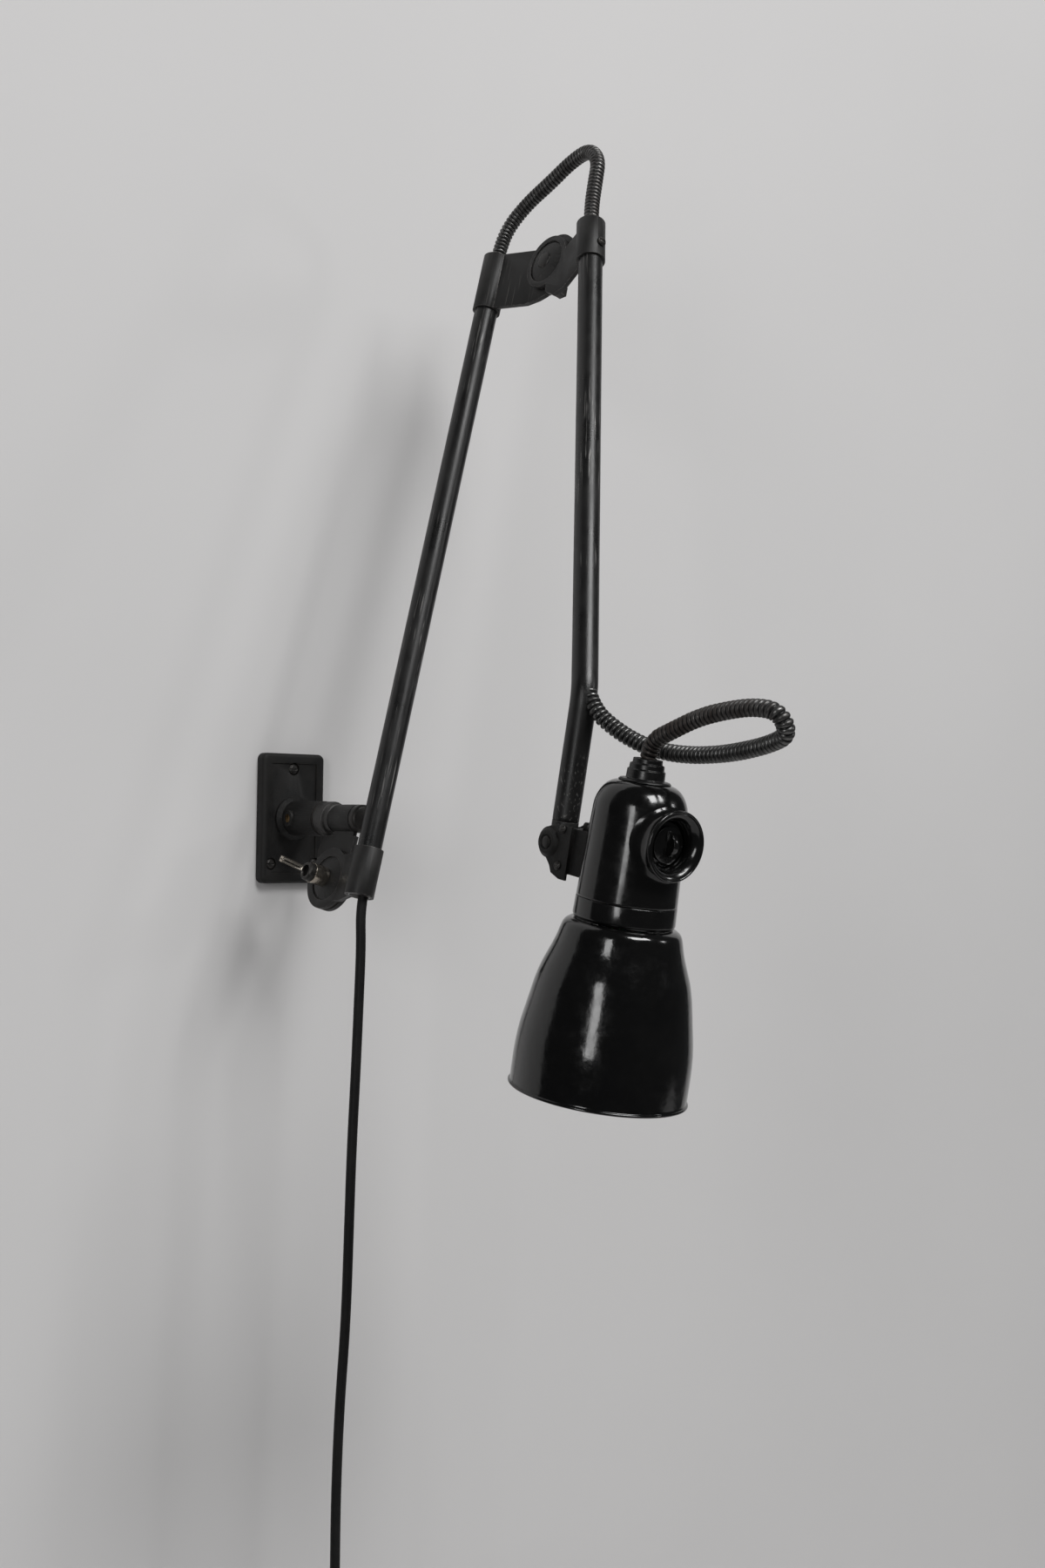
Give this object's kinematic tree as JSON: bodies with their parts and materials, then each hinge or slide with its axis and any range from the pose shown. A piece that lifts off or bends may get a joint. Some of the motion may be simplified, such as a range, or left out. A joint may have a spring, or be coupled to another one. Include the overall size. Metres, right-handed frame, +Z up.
{
  "type": "articulating wall lamp",
  "caption": "Wall lamp on a swivelling bracket: two hinged tube arms with friction discs, flexible conduit, a tilting moulded head with a rotary switch and a bell shade.",
  "frame": {"origin": "centre of the wall plate's back face, on the swivel stud's axis", "axes": "+Y into the wall, +Z up, +X to the right when facing the wall"},
  "size_m": [0.1812, 0.4906, 1.1469],
  "materials": {
    "plate": "cast iron painted dark charcoal, worn",
    "bright_steel": "plated screws, dulled",
    "dark_steel": "dark oxidised steel",
    "strap": "dark grey paint worn to metal at the edges",
    "tube": "dark paint, semi-gloss, scratched",
    "nickel": "nickel plate, polished",
    "fibre": "dark fibre",
    "hose": "wound steel strip, gunmetal",
    "cord": "matte black",
    "bakelite": "glossy black phenolic",
    "brass": "plain brass",
    "porcelain": "glazed insulator",
    "glass": "opal glass",
    "enamel": "glossy black enamel outside, light inside",
    "plug": "moulded black plastic"
  },
  "bodies": {
    "wall_bracket": {"wall_plate": "plate", "wall_screws": "bright_steel", "stud_lock_screw": "bright_steel", "swivel_stud": "bright_steel", "swivel_washer": "fibre", "swivel_cap_nut": "dark_steel"},
    "swivel": {"swivel_sleeve": "dark_steel", "swivel_strap": "strap", "base_friction_washer": "fibre", "base_pivot_bolt": "dark_steel"},
    "lever_nut": {"lever_nut": "nickel", "lever_washer": "nickel"},
    "lower_arm": {"lower_arm_strap": "strap", "lower_tube": "tube", "cord_bush": "cord", "elbow_rear_strap": "strap", "elbow_rear_screw": "bright_steel", "elbow_pivot_bolt": "dark_steel", "elbow_friction_washer": "fibre", "elbow_hose": "hose", "arm_cable": "cord", "mains_cord": "cord", "cord_coil": "cord", "plug_body": "plug", "plug_pins": "brass"},
    "wing_nut": {"elbow_wing_nut": "dark_steel", "elbow_wing_washer": "dark_steel"},
    "elbow_link": {"elbow_front_strap": "strap", "elbow_front_screw": "bright_steel"},
    "upper_arm": {"upper_tube": "tube", "tube_end_knuckle": "strap", "loop_hose": "hose", "head_cable": "cord"},
    "head": {"head_lug": "strap", "lug_knob": "bright_steel", "head_cheek_near": "strap", "head_cheek_far": "strap", "cheek_screws": "bright_steel", "tilt_washers": "fibre", "tilt_bolt": "bright_steel", "tilt_nut": "bright_steel", "head_shell": "bakelite", "lug_screws": "bright_steel", "shade_collar": "bakelite", "hose_gland": "bakelite", "gland_nut": "brass", "switch_body": "bakelite", "lamp_holder": "porcelain", "holder_thread_shell": "brass", "centre_contact": "brass", "bulb_cap": "brass", "bulb_glass": "glass", "shade": "enamel", "shade_ring": "bakelite"},
    "switch": {"switch_key": "bakelite"}
  },
  "joints": [
    {"name": "wall_swivel", "type": "hinge", "parent": "wall_bracket", "child": "swivel", "pos_m": [0, 0, 0], "axis": [0, 1, 0], "range_deg": [-91, 58]},
    {"name": "lever_turn", "type": "hinge", "parent": "swivel", "child": "lever_nut", "pos_m": [-0.0315, -0.0772, -0.03606], "axis": [0.9591, 0, -0.2832], "range_deg": [-270, 30]},
    {"name": "base_hinge", "type": "hinge", "parent": "swivel", "child": "lower_arm", "pos_m": [-0.01232, -0.0772, -0.04172], "axis": [0.9591, 0, -0.2832], "range_deg": [-15, 80]},
    {"name": "wing_nut_turn", "type": "hinge", "parent": "lower_arm", "child": "wing_nut", "pos_m": [0.11679, -0.1545, 0.37789], "axis": [0.9591, 0, -0.2832], "range_deg": [-270, 270]},
    {"name": "elbow_hinge", "type": "hinge", "parent": "lower_arm", "child": "elbow_link", "pos_m": [0.112, -0.1545, 0.37931], "axis": [0.9591, 0, -0.2832], "range_deg": [-110, 12], "deforming": ["elbow_hose", "arm_cable"]},
    {"name": "tube_twist", "type": "hinge", "parent": "elbow_link", "child": "upper_arm", "pos_m": [0.09551, -0.2058, 0.38296], "axis": [0.2698, 0.3034, 0.9139], "range_deg": [-60, 60]},
    {"name": "head_tilt", "type": "hinge", "parent": "upper_arm", "child": "head", "pos_m": [0.00185, -0.29306, -0.01314], "axis": [0.9995, 0, -0.0314], "range_deg": [-20, 20], "deforming": ["loop_hose", "head_cable"]},
    {"name": "switch_turn", "type": "hinge", "parent": "head", "child": "switch", "pos_m": [0.00199, -0.35689, -0.00872], "axis": [-0.0488, -0.9851, -0.1652], "continuous": true}
  ]
}
